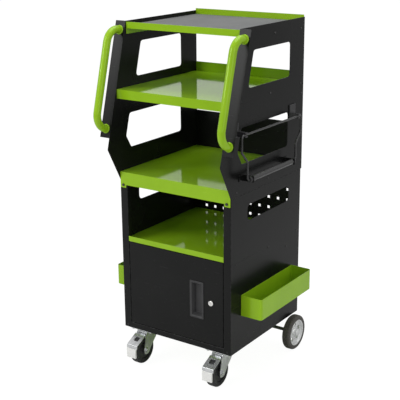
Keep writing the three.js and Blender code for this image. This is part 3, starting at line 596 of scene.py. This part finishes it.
lock_place = middle("lock_plug")
lock_face = Vector((lock_place.x, front, lock_place.z))
shell = [(-18, 5.8), (-18, 7.6), (-17.4, 8), (0.3, 8), (0.3, 9.5), (3.6, 9.5), (5.0, 9.1), (5.9, 8.2),
         (6.3, 7.2), (6.3, 5.9), (5.7, 5.8)]
piece("lock_shell", lathe(lock_face, -Y, shell, 96, closed=True), "lock_body")

for side in SIDES:
    bolt = middle(f"tray_bolt_{side}")
    seat = place(bolt.x / mm, -2.1, bolt.z / mm)
    shank = lathe(seat, -Y, [(-8.1, 2.4), (-7.5, 3), (0.1, 3)], 32)
    piece(f"tray_bolt_head_{side}", gather([shank, hex_head(seat, -Y, 5, 3)]), f"tray_bolt_{side}")

# ---------------------------------------------------------------- wire rack

pivot = middle("rack_bar")


def on_rack(y, z):
    return pivot + Vector((0, y, z)) * mm


outline = [(-111, 0), (-151, 0), (-151, 58), (-185, 94), (-185, 147)]
outline += [(-y, z) for y, z in reversed(outline)]
wire = sweep(bent([on_rack(y, z) for y, z in outline], 11 * mm, 8), 3.5 * mm, 24)
piece("rack_rod", wire, "rack_wire")
sleeve = [(-128, 4.1), (-128, 8.3), (-127.3, 9), (127.3, 9), (128, 8.3), (128, 4.1)]
piece("rack_sleeve", lathe(pivot, Y, sleeve, 64, closed=True), "rack_bar")
for end in ("front", "rear"):
    node = f"rack_collar_{end}"
    low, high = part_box(node)
    half = (high[1] - low[1]) / mm / 2
    bush = [(-half, 3.9), (-half, 8.2), (-half + 0.8, 9), (-1, 9), (-0.6, 8.5), (0.6, 8.5), (1, 9),
            (half - 0.8, 9), (half, 8.2), (half, 3.9)]
    piece(f"rack_bush_{end}", lathe(middle(node), Y, bush, 64, closed=True), node)

# ---------------------------------------------------------------- front casters


def shoulder(half, radius, size, steps=6):
    """Profile over a tread, from one side face round both shoulders to the other."""
    turn = [math.pi / 2 * step / steps for step in range(steps + 1)]
    near = [(-half + size - size * math.cos(a), radius - size + size * math.sin(a)) for a in turn]
    return near + [(-along, reach) for along, reach in reversed(near)]


def both_ways(near, crown=()):
    """A profile that runs in over one side, across the crown and out over the other."""
    return [*near, *crown, *((-along, reach) for along, reach in reversed(near))]


CASTER_TREAD = both_ways([(-15, 38), (-15, 41), (-14.4, 41.6), (-14.4, 42.4)], shoulder(15, 50, 6.5))
CASTER_CORE = both_ways([(-17.8, 5.3), (-17.8, 10), (-17, 11), (-8, 13), (-7, 14.5), (-6.5, 31),
                         (-7.5, 33), (-14, 34.5), (-14, 37.7)])

for side in SIDES:
    hub = middle(f"caster_tyre_{side}")
    piece(f"caster_tread_{side}", lathe(hub, X, CASTER_TREAD, 96, closed=True), f"caster_tyre_{side}")
    piece(f"caster_core_{side}", lathe(hub, X, CASTER_CORE, 72, closed=True), f"caster_hub_{side}")
    bolt = [lathe(hub, X, [(-24.6, 4), (-24, 4.8), (24, 4.8), (24.6, 4)], 40)]
    bolt += [hex_head(hub, axis, 8, 4.9, 21.5) for axis in (X, -X)]
    piece(f"caster_bolt_{side}", gather(bolt), f"caster_axle_{side}")

    rounded(f"caster_plate_{side}", bend=0.8 * mm, rim=0.5 * mm)
    rounded(f"caster_fork_{side}", bend=0.9 * mm, rim=0.5 * mm)
    rounded(f"brake_pedal_{side}", bend=0.8 * mm, rim=0.4 * mm)
    rounded(f"pedal_toe_{side}", bend=2.2 * mm, rim=2.2 * mm, segments=5)
    plate = middle(f"caster_plate_{side}")
    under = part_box(f"caster_plate_{side}")[1][2] / mm - 4
    nuts = []
    for dx in (-37, 37):
        for dy in (-32, 32):
            seat = Vector((plate.x + dx * mm, plate.y + dy * mm, under * mm))
            nuts.append(lathe(seat, -Z, [(0, 7.4), (1.0, 7.4), (1.3, 7.0)], 40))
            nuts.append(hex_head(seat, -Z, 6, 4.2, 1.2))
            nuts.append(lathe(seat, -Z, [(4, 3.2), (6.4, 3.2), (6.9, 2.7)], 24))
    piece(f"caster_nuts_{side}", gather(nuts), f"caster_plate_{side}", replace=False)

# ---------------------------------------------------------------- rear wheels


def lugs(row, step, angle, radius):
    """Cross grooves in the tread: every fifth step of the turned rows near the crown is sunk."""
    return radius - 1.4 if radius > 58.5 and step % 5 == 0 else radius


def ellipse(centre_v, half_u, half_v, count=40):
    """(u, v) points of an oval whose middle is `centre_v` along v."""
    turn = [2 * math.pi * step / count for step in range(count)]
    return [(half_u * math.cos(a), centre_v + half_v * math.sin(a)) for a in turn]


for side, s in SIDES.items():
    hub = middle(f"rear_tyre_{side}")
    crown = shoulder(14.5, 62.5, 8, 7)
    grooves = []
    for along in (-4.6, 0, 4.6):
        grooves += [(along - 0.9, 62.5), (along - 0.6, 61.0), (along + 0.6, 61.0), (along + 0.9, 62.5)]
    bead = [(-14.5, 47), (-14.5, 49), (-13.9, 50), (-13.9, 51.5)]
    tread = both_ways(bead, crown[:8] + grooves + crown[8:])
    piece(f"rear_tread_{side}", lathe(hub, X, tread, 200, lugs, closed=True), f"rear_tyre_{side}")

    outward = X * s
    band = [(-13.5, 41.5), (-13.5, 46.7), (13.5, 46.7), (13.5, 43.8), (12.6, 42.6), (8, 41.2),
            (5.2, 38.5), (4.2, 30), (5.2, 19), (8.5, 15.8), (13, 14.2), (13.5, 13.2), (13.5, 6.3),
            (-13.5, 6.3), (-13.5, 14), (-2, 15.5), (0.6, 19), (-0.2, 30), (0.4, 38.5), (-2, 41.5)]
    rim = mesh_object("rim", *lathe(hub, outward, band, 120, closed=True))
    oval = ellipse(29, 8.2, 7.6)
    cutters = []
    for spoke in range(5):
        turn = 2 * math.pi * (spoke + 0.5) / 5
        c, d = math.cos(turn), math.sin(turn)
        spun = [(u * c - v * d, u * d + v * c) for u, v in oval]
        cutters.append(prism(hub, outward, spun, 11))
    carve(rim, *cutters)
    rim = round_edges(rim, 0.7 * mm, 0.7 * mm, 3, sharp=math.radians(40))
    rim.name = f"rear_wheel_disc_{side}"
    finish_piece(rim, BODY_OF[f"rear_rim_{side}"], "silver_plastic", [f"rear_rim_{side}"])
    dome = [(13.8, 11.2), (14.4, 12), (15.6, 11.9), (16.8, 11.1), (17.7, 9.4), (18.3, 6.6), (18.5, 3.0)]
    piece(f"rear_hub_cap_{side}", lathe(hub, outward, dome, 64), f"axle_cap_{side}")

# ---------------------------------------------------------------- screws

# Where the seams are screwed, in (y, z) on both sides and (x, z) on the front posts.
SIDE_SCREWS = ((255, 1142), (425, 1140), (232, 954.5), (430, 957), (435, 923), (223, 675), (31, 672),
               (29.5, 432), (229, 434), (352, 401), (425, 439), (22, 878), (20, 848))
POST_SCREWS = ((205, 136), (197, 640))
PANEL_X = 219  # outer face of the side panels


def pan_head(seat, axis, radius):
    """A domed screw head with a cross recess."""
    turn = [math.radians(12 * step) for step in range(7)]
    dome = [(0.55 * radius * math.sin(a), radius * math.cos(a) ** 0.7) for a in turn]
    head = mesh_object("head", *lathe(seat, axis, [(-0.2, radius)] + dome, 40))
    u, v = frame_on(axis)
    half_width, half_length = 0.15 * radius, 0.605 * radius
    ring = ((-1, -1), (1, -1), (1, 1), (-1, 1))
    bars = []
    for across, along in ((u, v), (v, u)):
        points = [seat + (axis * depth + across * a * half_width + along * b * half_length) * mm
                  for depth in (0.18 * radius, radius) for a, b in ring]
        faces = [(0, 1, 2, 3), (4, 5, 6, 7), (0, 1, 5, 4), (1, 2, 6, 5), (2, 3, 7, 6), (3, 0, 4, 7)]
        bars.append((points, faces))
    return carve(head, *bars)


def head_mesh(axis, radius):
    """One head at the origin, which many screws share."""
    head = pan_head(Vector((0, 0, 0)), axis, radius)
    mesh = head.data
    bpy.data.objects.remove(head)
    return mesh


side_heads = {s: head_mesh(X * s, 3.6) for s in (1, -1)}
post_head = head_mesh(-Y, 2.8)


def screw(name, mesh, seat):
    obj = new_object(name, mesh)
    obj.location = seat
    return finish_piece(obj, "root", "black_steel")


for side, s in SIDES.items():
    for index, (y, z) in enumerate(SIDE_SCREWS):
        screw(f"side_screw_{side}_{index}", side_heads[s], place(PANEL_X * s, y, z))
    for index, (x, z) in enumerate(POST_SCREWS):
        screw(f"corner_screw_{side}_{index}", post_head, place(x * s, 0, z))

# ---------------------------------------------------------------- camera, floor and light


def studio():
    scene = bpy.context.scene
    scene.view_settings.view_transform = "Standard"
    camera = bpy.data.objects.new("camera", bpy.data.cameras.new("camera"))
    scene.collection.objects.link(camera)
    scene.camera = camera
    camera.data.sensor_width = 36.0
    camera.data.lens = 85.17
    camera.data.shift_x, camera.data.shift_y = -0.0117, -0.0035
    camera.location = (1.7263, front - 2.3514, 1.5091)
    heading, pitch, roll = (Matrix.Rotation(math.radians(degrees), 4, axis)
                            for degrees, axis in ((34.33, "Z"), (73.13, "X"), (-0.40, "Z")))
    camera.rotation_euler = (heading @ pitch @ roll).to_euler()

    floor = mesh_object("floor", [(-40, -40, 0), (40, -40, 0), (40, 40, 0), (-40, 40, 0)], [(0, 1, 2, 3)])
    pale = Finish("pale_floor", roughness=0.9, specular_ior_level=0.1)
    mottle = pale.noise(0.4, detail=3)
    pale.feed(base_color=pale.blend(mottle, rgb(0.80, 0.80, 0.80), rgb(0.84, 0.84, 0.84)))
    glow = pale.node("ShaderNodeEmission", inputs={"Color": rgb(1, 1, 1), "Strength": 1.12})
    rays = pale.node("ShaderNodeLightPath", output="Is Camera Ray")
    lit = Value(pale, pale.shader.outputs[0])
    shown = pale.node("ShaderNodeMixShader", inputs={0: rays * 0.85, 1: lit, 2: glow})
    pale.tree.links.new(shown.socket, pale.tree.nodes["Material Output"].inputs["Surface"])
    floor.data.materials.append(pale.material)

    world = bpy.data.worlds.new("studio")
    scene.world = world
    world.use_nodes = True
    background = world.node_tree.nodes["Background"]
    path = world.node_tree.nodes.new("ShaderNodeLightPath")
    level = None
    for output, added, base in (("Is Camera Ray", 0.55, 0.50), ("Is Glossy Ray", 0.28, None)):
        step = world.node_tree.nodes.new("ShaderNodeMath")
        step.operation = "MULTIPLY_ADD"
        world.node_tree.links.new(path.outputs[output], step.inputs[0])
        step.inputs[1].default_value = added
        if level is None:
            step.inputs[2].default_value = base
        else:
            world.node_tree.links.new(level, step.inputs[2])
        level = step.outputs[0]
    world.node_tree.links.new(level, background.inputs["Strength"])
    background.inputs["Color"].default_value = rgb(1, 1, 1)

    softbox("key", (-1.6, -2.6, 2.6), (1.8, 1.8), 56)
    softbox("fill", (2.8, -1.2, 1.9), (1.4, 2.0), 16)
    softbox("top", (0.2, 0.4, 3.2), (2.0, 2.0), 38)


def softbox(name, place, size, power):
    light = bpy.data.lights.new(name, "AREA")
    light.shape = "RECTANGLE"
    light.size, light.size_y = size
    light.energy = power
    lamp = bpy.data.objects.new(name, light)
    bpy.context.scene.collection.objects.link(lamp)
    lamp.location = place
    aim = Vector((0, 0, 0.6)) - lamp.location
    lamp.rotation_euler = aim.to_track_quat("-Z", "Y").to_euler()


studio()
